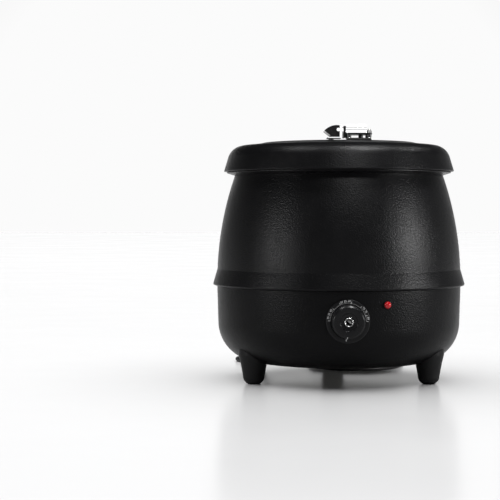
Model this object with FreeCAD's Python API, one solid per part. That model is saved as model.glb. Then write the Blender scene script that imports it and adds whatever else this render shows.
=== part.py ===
import FreeCAD, Part
import os
from math import asin, cos, pi, radians, sin, tan

from FreeCAD import Vector

# Soup kettle, millimetres. +Z is up, -Y is the front with the thermostat knob.
# The origin is on the kettle's own axis, on the surface that the feet stand on.

# Casings
SHEET = 0.8                 # casing and lid sheet
BAND_R = 185.5              # widest point, the lower edge of the upper casing's flared band
BAND_Z = 141.0
BAND_TOP_R = 179.2
BAND_TOP_Z = 163.0
WAIST_R = 153.5             # top of the upper casing's wall, under the lid
WAIST_Z = 300.0
BELLY_R = 171.9             # a point on the arc between band and waist
BELLY_Z = 230.0
FLARE_R = 165.0             # rim that the wall flares out to, under the lid
FLARE_Z = 303.8
LOWER_TOP_R = 180.0         # upper edge of the lower casing, inside the band
LOWER_TOP_Z = 152.0
CORNER_R = 58.0             # rounded bottom corner
CORNER_CENTRE_R = 120.0
CORNER_CENTRE_Z = 85.0
BOTTOM_Z = CORNER_CENTRE_Z - CORNER_R
BOTTOM_HOLE_R = 112.0

# Mouth, water well and insert pot
RING_TOP_Z = 305.6
RING_SHEET = 0.8
RECESS_Z = 301.7            # recess that the well's flange lies in
MOUTH_R = 128.0
DECK_R = 150.0              # inner edge of the deck
RECESS_R = 142.0
WELL_SHEET = 0.8
WELL_FLANGE_R = 139.0
WELL_NECK_R = 118.0         # inside the neck
WELL_R = 126.0              # inside the wall
WELL_FLOOR_Z = 52.0         # upper face of the floor
POT_R = 114.5               # outside of the wall: a 10 litre insert
POT_RIM_R = 122.0
POT_HEIGHT = 240.0
POT_SHEET = 0.8
POT_CORNER_R = 12.0
POT_RIM_Z = RECESS_Z + WELL_SHEET

# Heater and base
HEATER_TOP_Z = WELL_FLOOR_Z - WELL_SHEET
HEATER_THICK = 5.5
CLAMP_THICK = 2.0
REFLECTOR_Z = 36.0
TIE_R = 4.0
BASE_Z = BOTTOM_Z + SHEET
BASE_R = 118.5
BASE_SCREW_R = 1.9
BASE_SCREW_CIRCLE_R = 114.5

# Lid, split across the middle into a fixed half (+X) and a flap (-X)
LID_R = 169.3
LID_LIP_Z = 306.0
LID_FLANGE_R = 158.0        # inner edge of the turned-in lip
LID_SHOULDER_R = 163.0
LID_SHOULDER_Z = 328.0
LID_PANEL_R = 112.0         # raised middle panel
LID_PANEL_Z = 348.2
LID_TOP_Z = 349.6
SEAM_GAP = 0.5              # between the two halves
STRIP_CLEARANCE = 0.3

# Lid hinge and grip
PIVOT_X = -1.5
PIVOT_Z = 367.3
PIN_R = 1.9
PIN_RUNNING = 0.05
PIN_HEAD_R = 2.8
GRIP_HALF_Y = 21.0
KNUCKLE_R = 4.6
KNUCKLE_HALF_Y = 14.7
PLATE_Z = 360.6             # underside of the hinge plate
PLATE_TOP_Z = 363.0
HOUSING_TOP_Z = 375.2
GASKET_TOP_Z = 355.8
HINGE_SCREWS = [(14.5, 14.0), (14.5, -14.0), (32.8, 0.0), (44.2, 14.0), (44.2, -14.0)]
GRIP_SCREWS = [(-11.0, 11.0), (-11.0, -11.0)]
SCREW_R = 2.0
SCREW_HEAD_R = 4.0

# Thermostat, knob and lamp on the front wall
KNOB_X = 2.4                # the knob stands a little right of the middle
KNOB_Z = 98.0
DIAL_R = 30.0
DIAL_Y = -180.6             # back of the dial ring
DIAL_THICK = 2.2
KNOB_R = 23.0
KNOB_BACK_Y = -183.2
KNOB_FRONT_Y = -201.5
CAP_R = 6.5
SPINDLE_R = 3.0
BUSH_R = 4.8
LAMP_Z = 119.6
LAMP_AZIMUTH = -71.5        # degrees from +X
LAMP_WALL_R = 179.4
LAMP_BODY_R = 4.6
LENS_R = 5.6
LENS_EDGE = 1.2
LENS_HIGH = 5.0

# Feet
FOOT_CIRCLE_R = 145.0
FOOT_AZIMUTHS = {"foot_front_left": 210.0, "foot_front_right": 330.0, "foot_rear": 90.0}
FOOT_TREAD_R = 7.8
FOOT_TOP_R = 22.0
FOOT_TOP_Z = 60.0
FOOT_GAP = 0.2              # to the casing
FOOT_SCREW_R = 2.5

# Mains lead: 7 mm across and 1.5 m long, uncoiled part and coil together
LEAD_R = 3.5
LEAD_Z = LEAD_R + 0.1
GLAND_AZIMUTH = 120.0
TERMINAL_AZIMUTH = 180.0
GLAND_DOWN = 30.0           # degrees below the horizontal
GLAND_LENGTH = 26.0
GLAND_NECK_R = 5.5          # hole in the casing
COIL_CENTRE = (66.0, 240.0)
COIL_R = 44.0               # middle of the turns
COIL_HALF_WIDTH = 7.3       # two turns side by side
COIL_HEIGHT = 14.6          # and two layers high


def outline(start, *steps):
    """Closed wire in the XZ plane. A step is a line's end, or a pair: a point on an arc and its end."""
    at = Vector(start[0], 0, start[1])
    first = at
    edges = []
    for step in steps:
        if isinstance(step[0], tuple):
            middle, end = (Vector(p[0], 0, p[1]) for p in step)
            edges.append(Part.Arc(at, middle, end).toShape())
        else:
            end = Vector(step[0], 0, step[1])
            edges.append(Part.LineSegment(at, end).toShape())
        at = end
    if (at - first).Length > 1e-6:
        edges.append(Part.LineSegment(at, first).toShape())
    return Part.Wire(edges)


def crown(edge_r, edge_z, top_z):
    """Arc from an edge up to the axis, level at the top: a point on the way and its end."""
    rise = top_z - edge_z
    radius = (edge_r ** 2 + rise ** 2) / (2 * rise)
    half = asin(edge_r / radius) / 2
    return (radius * sin(half), top_z - radius * (1 - cos(half))), (0.0, top_z)


def turned(start, *steps):
    """Solid of revolution about Z of an outline given as radius and height."""
    return Part.Face(outline(start, *steps)).revolve(Vector(0, 0, 0), Vector(0, 0, 1), 360)


def extruded_y(half, start, *steps):
    """An outline in XZ, extruded to the same distance on both sides of Y = 0."""
    face = Part.Face(outline(start, *steps))
    face.translate(Vector(0, -half, 0))
    return face.extrude(Vector(0, 2 * half, 0))


def box(x0, x1, y0, y1, z0, z1):
    return Part.makeBox(x1 - x0, y1 - y0, z1 - z0, Vector(x0, y0, z0))


def post(x, y, z0, z1, radius):
    return Part.makeCylinder(radius, z1 - z0, Vector(x, y, z0))


def tube(x, y, z0, z1, outer, inner):
    return post(x, y, z0, z1, outer).cut(post(x, y, z0 - 1, z1 + 1, inner))


def forward(y0, y1, radius, z=KNOB_Z):
    """Cylinder on the knob's axis, from y0 forward to y1."""
    return Part.makeCylinder(radius, y0 - y1, Vector(KNOB_X, y0, z), Vector(0, -1, 0))


def across(x, z, y0, y1, radius):
    """Cylinder along +Y."""
    return Part.makeCylinder(radius, y1 - y0, Vector(x, y0, z), Vector(0, 1, 0))


def hexagon(x, y, z0, z1, across_flats):
    corner = across_flats / 2 / cos(radians(30))
    points = [on_circle(corner, 60 * i, z0) + Vector(x, y, 0) for i in range(7)]
    return Part.Face(Part.makePolygon(points)).extrude(Vector(0, 0, z1 - z0))


def on_circle(radius, azimuth, z=0.0):
    return Vector(radius * cos(radians(azimuth)), radius * sin(radians(azimuth)), z)


def export(name, shape):
    """Write one node."""
    shape.exportStep(f"parts/{name}.step")


def export_group(name, solids):
    """Write one node of pieces that stay apart."""
    export(name, Part.makeCompound(solids))


# Casings -------------------------------------------------------------------

def corner_point(angle, shift=0.0):
    """A point (r, z) on the rounded bottom corner, shifted inwards; 0 is level, 90 straight down."""
    radius = CORNER_R - shift
    down = radians(angle)
    return CORNER_CENTRE_R + radius * cos(down), CORNER_CENTRE_Z - radius * sin(down)


def lower_casing():
    """Bowl with a rounded corner, open at the top and in the middle of its bottom."""
    shell = turned(
        (BOTTOM_HOLE_R, BOTTOM_Z),
        corner_point(90),
        (corner_point(45), corner_point(0)),
        (LOWER_TOP_R, LOWER_TOP_Z),
        (LOWER_TOP_R - SHEET, LOWER_TOP_Z),
        corner_point(0, SHEET),
        (corner_point(45, SHEET), corner_point(90, SHEET)),
        (BOTTOM_HOLE_R, BOTTOM_Z + SHEET),
    )
    holes = [
        forward(-150, -200, BUSH_R + 0.4),
        lamp_cylinder(150, 200, LAMP_BODY_R + 0.2),
        gland_cylinder(-20, 20, GLAND_NECK_R),
    ]
    for azimuth in FOOT_AZIMUTHS.values():
        at = on_circle(FOOT_CIRCLE_R, azimuth)
        holes.append(post(at.x, at.y, 0, 60, FOOT_SCREW_R + 0.1))
    for at in base_screw_places():
        holes.append(post(at.x, at.y, 20, 40, BASE_SCREW_R + 0.1))
    return shell.cut(holes)


def upper_casing():
    """Tapered wall with a flared band below, that laps over the lower casing."""
    return turned(
        (LOWER_TOP_R + 0.8, BAND_Z - 2.8),
        (BAND_R, BAND_Z),
        (BAND_TOP_R, BAND_TOP_Z),
        ((BELLY_R, BELLY_Z), (WAIST_R, WAIST_Z)),
        (WAIST_R - SHEET, WAIST_Z),
        ((BELLY_R - SHEET, BELLY_Z), (BAND_TOP_R - SHEET, BAND_TOP_Z + 0.4)),
        (BAND_R - 1.4, BAND_Z + 0.6),
        (LOWER_TOP_R + 0.8, BAND_Z - 1.6),
    )


def top_ring():
    """Deck with a recess for the well's flange, folded at its rim down and back to the casing's wall."""
    under = RING_TOP_Z - RING_SHEET
    return turned(
        (WAIST_R, WAIST_Z),
        (FLARE_R, FLARE_Z),
        (FLARE_R, RING_TOP_Z),
        (DECK_R, RING_TOP_Z),
        (RECESS_R, RECESS_Z),
        (MOUTH_R, RECESS_Z),
        (MOUTH_R, RECESS_Z - RING_SHEET),
        (RECESS_R - 0.5, RECESS_Z - RING_SHEET),
        (DECK_R - 0.5, under),
        (FLARE_R - RING_SHEET, under),
        (WAIST_R - SHEET, WAIST_Z + 1.0),
        (WAIST_R - SHEET, WAIST_Z),
    )


# Wet side ------------------------------------------------------------------

def water_well():
    """Stainless pan hung in the mouth by its flange, with a narrow neck."""
    t = WELL_SHEET
    flange_top = RECESS_Z + t
    floor = WELL_FLOOR_Z
    return turned(
        (0, floor),
        (WELL_R - 9, floor),
        ((WELL_R - 2.6, floor + 2.6), (WELL_R, floor + 9)),
        (WELL_R, 278.0),
        (WELL_NECK_R, 288.0),
        (WELL_NECK_R, flange_top),
        (WELL_FLANGE_R, flange_top),
        (WELL_FLANGE_R, RECESS_Z),
        (WELL_NECK_R + t, RECESS_Z),
        (WELL_NECK_R + t, 288.5),
        (WELL_R + t, 278.5),
        (WELL_R + t, floor + 9),
        ((WELL_R - 2.6 + 0.7 * t, floor + 2.6 - 0.7 * t), (WELL_R - 9, floor - t)),
        (0, floor - t),
    )


def insert_pot():
    """Stainless insert: straight wall, rounded corner and a flat rim that rests on the well."""
    t = POT_SHEET
    bottom = POT_RIM_Z + t - POT_HEIGHT
    c = POT_CORNER_R
    inset = c * (1 - cos(radians(45)))
    inner = c - t
    inner_inset = inner * (1 - cos(radians(45)))
    return turned(
        (0, bottom),
        (POT_R - c, bottom),
        ((POT_R - inset, bottom + inset), (POT_R, bottom + c)),
        (POT_R, POT_RIM_Z),
        (POT_RIM_R, POT_RIM_Z),
        (POT_RIM_R, POT_RIM_Z + t),
        (POT_R - t, POT_RIM_Z + t),
        (POT_R - t, bottom + c),
        ((POT_R - t - inner_inset, bottom + t + inner_inset), (POT_R - c, bottom + t)),
        (0, bottom + t),
    )


# Heater and base -----------------------------------------------------------

def heater_ring():
    """Flat ring element with two flat terminals that stand out on the left."""
    low = HEATER_TOP_Z - HEATER_THICK
    ring = tube(0, 0, low, HEATER_TOP_Z, 95.0, 52.0)
    tabs = [box(-112, -90, y, y + 6.3, low + 2, low + 2.8) for y in (-14, 8)]
    return ring.fuse(tabs)


def heater_clamp_plate():
    top = HEATER_TOP_Z - HEATER_THICK
    return tube(0, 0, top - CLAMP_THICK, top, 98.0, TIE_R + 0.3)


def heat_reflector():
    """Shallow dish below the element."""
    return turned(
        (TIE_R + 0.3, REFLECTOR_Z), (106.0, REFLECTOR_Z), (108.0, REFLECTOR_Z + 5.0),
        (107.2, REFLECTOR_Z + 5.4), (105.2, REFLECTOR_Z + 0.8), (TIE_R + 0.3, REFLECTOR_Z + 0.8),
    )


def tie_bolt():
    """Stud welded under the well, that clamps the heater and holds the base plate up."""
    return post(0, 0, 19.0, HEATER_TOP_Z, TIE_R)


def tie_nut():
    return hexagon(0, 0, 20.5, BASE_Z, 13.0).cut(post(0, 0, 0, 60, TIE_R))


def tie_sleeve():
    return tube(0, 0, BASE_Z + SHEET, REFLECTOR_Z, 6.5, TIE_R + 0.3)


def base_screw_places():
    return [on_circle(BASE_SCREW_CIRCLE_R, azimuth) for azimuth in (90, 210, 330)]


def base_plate():
    """Disc that closes the bottom, laid on the lower casing's inner edge."""
    plate = tube(0, 0, BASE_Z, BASE_Z + SHEET, BASE_R, TIE_R + 0.3)
    return plate.cut([post(at.x, at.y, 20, 40, BASE_SCREW_R) for at in base_screw_places()])


def base_screws():
    solids = []
    for at in base_screw_places():
        head = post(at.x, at.y, BOTTOM_Z - 1.6, BOTTOM_Z, 3.6)
        solids.append(head.fuse(post(at.x, at.y, BOTTOM_Z - 1.0, 33.0, BASE_SCREW_R)))
    return solids


def foot(azimuth):
    """Round rubber-like foot, tapered to a small tread, its top shaped to the casing's corner."""
    body = turned(
        (0, 0), (FOOT_TREAD_R, 0),
        ((12.8, 3.4), (15.5, 11.0)),
        (19.0, 30.0), (FOOT_TOP_R, 42.0), (FOOT_TOP_R, FOOT_TOP_Z), (0, FOOT_TOP_Z),
    )
    at = on_circle(FOOT_CIRCLE_R, azimuth)
    body.translate(at)
    casing_space = turned(
        (0, BOTTOM_Z - FOOT_GAP),
        corner_point(90, -FOOT_GAP),
        (corner_point(45, -FOOT_GAP), corner_point(0, -FOOT_GAP)),
        (0, CORNER_CENTRE_Z),
    )
    bore = post(at.x, at.y, -1, 80, FOOT_SCREW_R)
    recess = post(at.x, at.y, -1, 9.0, 5.0)
    return body.cut([casing_space, bore, recess])


def foot_screws():
    solids = []
    for azimuth in FOOT_AZIMUTHS.values():
        at = on_circle(FOOT_CIRCLE_R, azimuth)
        solids.append(post(at.x, at.y, 5.5, 9.0, 4.6).fuse(post(at.x, at.y, 7.0, 46.0, FOOT_SCREW_R)))
    return solids


def foot_nuts():
    """Nuts inside the casing, on the curve of its corner."""
    solids = []
    for azimuth in FOOT_AZIMUTHS.values():
        at = on_circle(FOOT_CIRCLE_R, azimuth)
        solids.append(hexagon(at.x, at.y, 38.5, 43.5, 9.0).cut(post(at.x, at.y, 30, 50, FOOT_SCREW_R)))
    return solids


# Controls ------------------------------------------------------------------

def lamp_cylinder(r0, r1, radius):
    """Cylinder on the lamp's axis, which stands square to the wall."""
    out = on_circle(1, LAMP_AZIMUTH)
    return Part.makeCylinder(radius, r1 - r0, on_circle(r0, LAMP_AZIMUTH, LAMP_Z), out)


def lamp_lens():
    """Domed red lens outside the wall."""
    dome = turned((0, 0), (LENS_R, 0), (LENS_R, LENS_EDGE), crown(LENS_R, LENS_EDGE, LENS_HIGH))
    dome.rotate(Vector(0, 0, 0), Vector(0, 1, 0), 90)
    dome.rotate(Vector(0, 0, 0), Vector(0, 0, 1), LAMP_AZIMUTH)
    dome.translate(on_circle(LAMP_WALL_R, LAMP_AZIMUTH, LAMP_Z))
    return dome


def thermostat_body():
    """Capillary thermostat with its threaded bush through the wall."""
    case = box(KNOB_X - 18, KNOB_X + 18, -172, -150, KNOB_Z - 18, KNOB_Z + 18)
    return case.fuse(forward(-172, -182.6, BUSH_R)).cut(forward(-160, -190, SPINDLE_R + PIN_RUNNING))


def thermostat_nut():
    """Nut that clamps the wall to the bush, behind the dial."""
    nut = hexagon(0, 0, 0, 1.8, 14.0).cut(post(0, 0, -1, 3, BUSH_R))
    nut.rotate(Vector(0, 0, 0), Vector(1, 0, 0), 90)
    nut.translate(Vector(KNOB_X, -180.4, KNOB_Z))
    return nut


def dial_ring():
    """Ring with the scale, fixed round the bush."""
    ring = turned((8.6, 0), (DIAL_R, 0), (DIAL_R, 1.4), (DIAL_R - 0.8, DIAL_THICK), (8.6, DIAL_THICK))
    ring.rotate(Vector(0, 0, 0), Vector(1, 0, 0), 90)
    ring.translate(Vector(KNOB_X, DIAL_Y, KNOB_Z))
    return ring


def knob():
    """Round knob with a dished hub and a socket for the spindle."""
    depth = KNOB_BACK_Y - KNOB_FRONT_Y
    body = turned(
        (SPINDLE_R, 0), (KNOB_R, 0), (KNOB_R - 0.6, depth - 2.2),
        ((KNOB_R - 1.3, depth - 0.6), (KNOB_R - 3.0, depth)),
        (CAP_R + 1.0, depth), (CAP_R + 1.0, depth - 1.6), (SPINDLE_R, depth - 1.6),
    )
    body.rotate(Vector(0, 0, 0), Vector(1, 0, 0), 90)
    body.translate(Vector(KNOB_X, KNOB_BACK_Y, KNOB_Z))
    return body


def knob_cap():
    """Bright ring round the end of the spindle."""
    ring = turned((SPINDLE_R + 0.4, 0), (CAP_R, 0), (CAP_R, 1.6), ((5.6, 2.1), (SPINDLE_R + 0.4, 1.6)))
    ring.rotate(Vector(0, 0, 0), Vector(1, 0, 0), 90)
    ring.translate(Vector(KNOB_X, KNOB_FRONT_Y + 1.6, KNOB_Z))
    return ring


def capillary():
    """Sensing bulb upright on the well's wall, and the thin tube to it."""
    y = -(WELL_R + WELL_SHEET + 3.2)
    bulb = post(0, y, 62, 138, 3.0)
    route = [
        Vector(6, -150, KNOB_Z), Vector(6, -145, KNOB_Z), Vector(5, -143, 106),
        Vector(3, -138, 132), Vector(0, -137, 150), Vector(0, y, 152), Vector(0, y, 138),
    ]
    return bulb, swept(route, 0.9)


def thermal_cutout():
    """Disc cut-out on the right of the well's wall."""
    start = Vector(WELL_R + WELL_SHEET + 0.2, 0, 72)
    return Part.makeCylinder(9.0, 9.0, start, Vector(1, 0, 0))


def terminal_block():
    block = box(-16, 16, -8, 8, 0, 16)
    block.rotate(Vector(0, 0, 0), Vector(0, 0, 1), TERMINAL_AZIMUTH - 90)
    block.translate(on_circle(158, TERMINAL_AZIMUTH, 84))
    return block


def arc_wire(radius, z, from_azimuth, to_azimuth):
    """A wire laid round the well."""
    turn = Part.makeTorus(radius, 1.2, Vector(0, 0, z), Vector(0, 0, 1), 0, 360, to_azimuth - from_azimuth)
    turn.rotate(Vector(0, 0, 0), Vector(0, 0, 1), from_azimuth)
    return turn


def internal_wiring():
    """Wires from the terminal block to the thermostat, the lamp and the cut-out."""
    return [
        arc_wire(160, 92, TERMINAL_AZIMUTH + 7, 263),
        arc_wire(150, 124, TERMINAL_AZIMUTH, 286),
        arc_wire(146, 72, 18, TERMINAL_AZIMUTH - 10),
    ]


# Lid -----------------------------------------------------------------------

def whole_lid():
    """Domed lid with a raised panel and a turned-in lip."""
    to_top = crown(LID_PANEL_R, LID_PANEL_Z, LID_TOP_Z)
    under_mid, under_top = crown(LID_PANEL_R, LID_PANEL_Z - SHEET, LID_TOP_Z - SHEET)
    bend = (155.6, 338.6)
    shelf = (138.0, 344.1)
    step = (116.5, 347.0)
    return turned(
        (LID_FLANGE_R, LID_LIP_Z),
        (LID_R, LID_LIP_Z),
        (LID_SHOULDER_R, LID_SHOULDER_Z),
        (bend, shelf),
        step,
        (LID_PANEL_R, LID_PANEL_Z),
        to_top,
        under_top,
        (under_mid, (LID_PANEL_R, LID_PANEL_Z - SHEET)),
        (step[0], step[1] - SHEET),
        (shelf[0], shelf[1] - SHEET),
        ((bend[0] - 1.0, bend[1] - 0.8), (LID_SHOULDER_R - SHEET, LID_SHOULDER_Z)),
        (LID_R - SHEET - 0.3, LID_LIP_Z + SHEET),
        (LID_FLANGE_R, LID_LIP_Z + SHEET),
    )


def lid_halves():
    lid = whole_lid()
    edge = LID_R + 10
    fixed = lid.common(box(SEAM_GAP / 2, edge, -edge, edge, 300, 360))
    flap = lid.common(box(-edge, -SEAM_GAP / 2, -edge, edge, 300, 360))
    fixed = fixed.cut([post(x, y, 300, 360, SCREW_R + 0.1) for x, y in HINGE_SCREWS])
    flap = flap.cut([post(x, y, 300, 360, SCREW_R + 0.1) for x, y in GRIP_SCREWS])
    return fixed, flap


def seam_strip():
    """Strip welded under the fixed half, that the flap's edge closes on."""
    top = LID_TOP_Z - SHEET - STRIP_CLEARANCE
    bottom = top - 1.0
    end_r = LID_PANEL_R - 0.8
    end_top = LID_PANEL_Z - SHEET - STRIP_CLEARANCE - 0.2
    band = turned((0, top), (end_r, end_top), (end_r, end_top - 1.0), (0, bottom))
    return band.common(box(-4.5, 9.0, -200, 200, 300, 360))


def through_lid_screws(places, tip):
    """Screws put in from under the lid."""
    solids = []
    for x, y in places:
        head = post(x, y, 345.6, 347.6, SCREW_HEAD_R)
        solids.append(head.fuse(post(x, y, 347.0, tip, SCREW_R)))
    return solids


def hinge_gasket():
    """Rubber block between the lid and the hinge plate's posts."""
    block = box(11.5, 47.5, -17.5, 17.5, LID_TOP_Z + 0.05, GASKET_TOP_Z)
    block = block.makeFillet(3.0, [e for e in block.Edges if abs(e.CenterOfMass.z - GASKET_TOP_Z) < 0.01])
    return block.cut([post(x, y, 340, 370, SCREW_R) for x, y in HINGE_SCREWS])


def hinge_plate():
    plate = box(10.5, 48.5, -18.5, 18.5, PLATE_Z, PLATE_TOP_Z)
    middle = (PLATE_Z + PLATE_TOP_Z) / 2
    plate = plate.makeFillet(4.0, [e for e in plate.Edges if abs(e.CenterOfMass.z - middle) < 0.01])
    return plate.cut([post(x, y, 340, 370, SCREW_R) for x, y in HINGE_SCREWS])


def hinge_housing():
    """Cast block on the hinge plate, grooved on its sides, with a knuckle that holds the pin."""
    block = extruded_y(
        16.5, (10.0, PLATE_TOP_Z), (40.5, PLATE_TOP_Z), (40.5, 372.0),
        ((39.6, 374.3), (37.5, HOUSING_TOP_Z)), (14.0, HOUSING_TOP_Z), ((11.2, 374.2), (10.0, 371.5)),
    )
    for z in (366.8, 370.6):
        for side in (-1, 1):
            y = side * 16.5
            block = block.cut(box(9, 42, min(y, y - side * 0.8), max(y, y - side * 0.8), z, z + 1.0))
    arm = box(PIVOT_X, 10.5, -KNUCKLE_HALF_Y, KNUCKLE_HALF_Y, PIVOT_Z - 2.4, PIVOT_Z + 2.6)
    knuckle = across(PIVOT_X, PIVOT_Z, -KNUCKLE_HALF_Y, KNUCKLE_HALF_Y, KNUCKLE_R)
    gap = box(PIVOT_X - KNUCKLE_R - 1, 9.0, -4.0, 4.0, 355, 380)
    body = block.fuse([arm, knuckle]).cut([gap, across(PIVOT_X, PIVOT_Z, -30, 30, PIN_R)])
    holes = [post(x, y, 340, 369, SCREW_R) for x, y in HINGE_SCREWS]
    return body.cut(holes)


def hinge_pin():
    reach = GRIP_HALF_Y + 0.3
    shaft = across(PIVOT_X, PIVOT_Z, -reach, reach, PIN_R)
    heads = [across(PIVOT_X, PIVOT_Z, reach, reach + 1.6, PIN_HEAD_R)]
    heads.append(across(PIVOT_X, PIVOT_Z, -reach - 1.6, -reach, PIN_HEAD_R))
    return shaft.fuse(heads)


def hinge_spacers():
    return [tube(x, y, GASKET_TOP_Z, PLATE_Z, 3.4, SCREW_R) for x, y in HINGE_SCREWS]


def hinge_nuts():
    """Domed nuts on the two screws behind the housing."""
    solids = []
    for x, y in HINGE_SCREWS[3:]:
        nut = hexagon(x, y, PLATE_TOP_Z, PLATE_TOP_Z + 3.2, 6.4)
        dome = Part.makeSphere(2.8, Vector(x, y, PLATE_TOP_Z + 3.0))
        solids.append(nut.fuse(dome).cut(post(x, y, 350, PLATE_TOP_Z + 3.0, SCREW_R)))
    return solids


def grip():
    """Beak-shaped grip. Two ears turn on the pin, one on each side of the knuckle."""
    body = extruded_y(
        GRIP_HALF_Y,
        (0.2, 357.0), (0.2, 373.8),
        ((-12.5, 372.4), (-21.8, 366.2)),
        ((-16.5, 361.6), (-9.0, 357.0)),
    )
    slot = box(PIVOT_X - KNUCKLE_R - 0.9, 1, -KNUCKLE_HALF_Y - 0.4, KNUCKLE_HALF_Y + 0.4, 350, 380)
    bore = across(PIVOT_X, PIVOT_Z, -30, 30, PIN_R + PIN_RUNNING)
    return body.cut([slot, bore] + [post(x, y, 350, 364, SCREW_R) for x, y in GRIP_SCREWS])


def hinge_leaf():
    """Bent plate: a foot under the grip and an upright behind each ear."""
    foot_plate = box(-17.0, 3.2, -GRIP_HALF_Y, GRIP_HALF_Y, 355.2, 356.8)
    leaf = foot_plate.cut([post(x, y, 350, 364, SCREW_R) for x, y in GRIP_SCREWS])
    for side in (-1, 1):
        inner = side * (KNUCKLE_HALF_Y + 0.8)
        outer = side * GRIP_HALF_Y
        leaf = leaf.fuse(box(0.6, 3.2, min(inner, outer), max(inner, outer), 355.2, 373.4))
    return leaf


def grip_spacers():
    return [tube(x, y, LID_TOP_Z + 0.05, 355.2, 3.4, SCREW_R) for x, y in GRIP_SCREWS]


# Mains lead ----------------------------------------------------------------

def gland_direction():
    level = on_circle(cos(radians(GLAND_DOWN)), GLAND_AZIMUTH)
    return Vector(level.x, level.y, -sin(radians(GLAND_DOWN)))


def gland_seat():
    """Point on the casing's corner where the lead comes out, square to the sheet."""
    r, z = corner_point(GLAND_DOWN)
    return on_circle(r, GLAND_AZIMUTH, z)


def gland_cylinder(start, end, radius):
    out = gland_direction()
    return Part.makeCylinder(radius, end - start, gland_seat() + out * start, out)


def cable_gland():
    """Strain relief: a neck through the casing, a collar on each side and a tapered sleeve."""
    out = gland_direction()
    sleeve = Part.makeCone(7.0, LEAD_R + 1.0, GLAND_LENGTH - 2.4, gland_seat() + out * 2.4, out)
    neck = gland_cylinder(-7, 2.6, GLAND_NECK_R - 0.1)
    outer_collar = gland_cylinder(0.5, 2.6, 8.5)
    inner_collar = gland_cylinder(-5.5, -3.2, 8.0)
    return sleeve.fuse([neck, outer_collar, inner_collar])


def lead_route():
    """Points of the lead: from the gland's end down to the surface, a loop to the left, then under the
    kettle past the rear foot, and back to the coil."""
    exit_at = gland_seat() + gland_direction() * GLAND_LENGTH
    return [
        exit_at,
        exit_at + gland_direction() * 12,
        Vector(-106.5, 185, 25),
        Vector(-111, 193.5, 13.5),
        Vector(-119.5, 202.5, 6.5),
        Vector(-131, 209.5, 3.8),
        Vector(-146.5, 221, LEAD_Z),
        Vector(-153.5, 243, LEAD_Z),
        Vector(-145.5, 265, LEAD_Z),
        Vector(-125.5, 277, LEAD_Z),
        Vector(-97.5, 272, LEAD_Z),
        Vector(-66, 248, LEAD_Z),
        Vector(-45, 213, LEAD_Z),
        Vector(-36, 172, LEAD_Z),
        Vector(-33, 132, LEAD_Z),
        Vector(-8, 101, LEAD_Z),
        Vector(30, 86, LEAD_Z),
        Vector(72, 96, LEAD_Z),
        Vector(102, 134, LEAD_Z),
        Vector(114, 182, LEAD_Z),
        Vector(113.6, 223, LEAD_Z),
    ]


def rounded_path(points):
    """Straight runs joined by tangent arcs, each as large as its two runs allow."""
    edges = []
    at = points[0]
    radii = []
    for before, corner, after in zip(points, points[1:], points[2:]):
        back = before - corner
        ahead = after - corner
        half = (pi - back.getAngle(ahead)) / 2
        trim = 0.45 * min(back.Length, ahead.Length)
        back.normalize()
        ahead.normalize()
        start = corner + back * trim
        end = corner + ahead * trim
        radius = trim / tan(half)
        bisector = (back + ahead).normalize()
        middle = corner + bisector * (radius / cos(half) - radius)
        edges.append(Part.LineSegment(at, start).toShape())
        edges.append(Part.Arc(start, middle, end).toShape())
        radii.append(radius)
        at = end
    edges.append(Part.LineSegment(at, points[-1]).toShape())
    return Part.Wire(edges), radii


def swept(points, radius):
    path, _ = rounded_path(points)
    start = points[1] - points[0]
    section = Part.Wire(Part.makeCircle(radius, points[0], start))
    return path.makePipeShell([section], True, False)


def mains_lead():
    route = lead_route()
    path, radii = rounded_path(route)
    lead = swept(route, LEAD_R)
    expected = pi * LEAD_R ** 2 * path.Length
    print("lead length", round(path.Length), "radii", [round(r) for r in radii])
    print("lead volume over section times length", round(lead.Volume / expected, 4))
    return lead


def lead_coil():
    """Outer shape of the coil behind the kettle: turns that lie side by side in two layers."""
    x, y = COIL_CENTRE
    low = LEAD_Z - LEAD_R
    return tube(x, y, low, low + COIL_HEIGHT, COIL_R + COIL_HALF_WIDTH, COIL_R - COIL_HALF_WIDTH)


def plug():
    """Two-pin plug that lies on the surface beside the coil."""
    body = turned(
        (0, 0), (5.0, 0), (6.0, 14.0), ((13.0, 20.0), (17.5, 30.0)),
        (18.5, 38.0), (18.5, 48.0), (0, 48.0),
    )
    pins = [post(side * 9.5, 0, 47, 67, 2.4) for side in (-1, 1)]
    whole = body.fuse(pins)
    whole.rotate(Vector(0, 0, 0), Vector(0, 1, 0), -90)
    x, y = COIL_CENTRE
    whole.translate(Vector(x - 25, y + COIL_R + 3, 18.6))
    return whole


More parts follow.
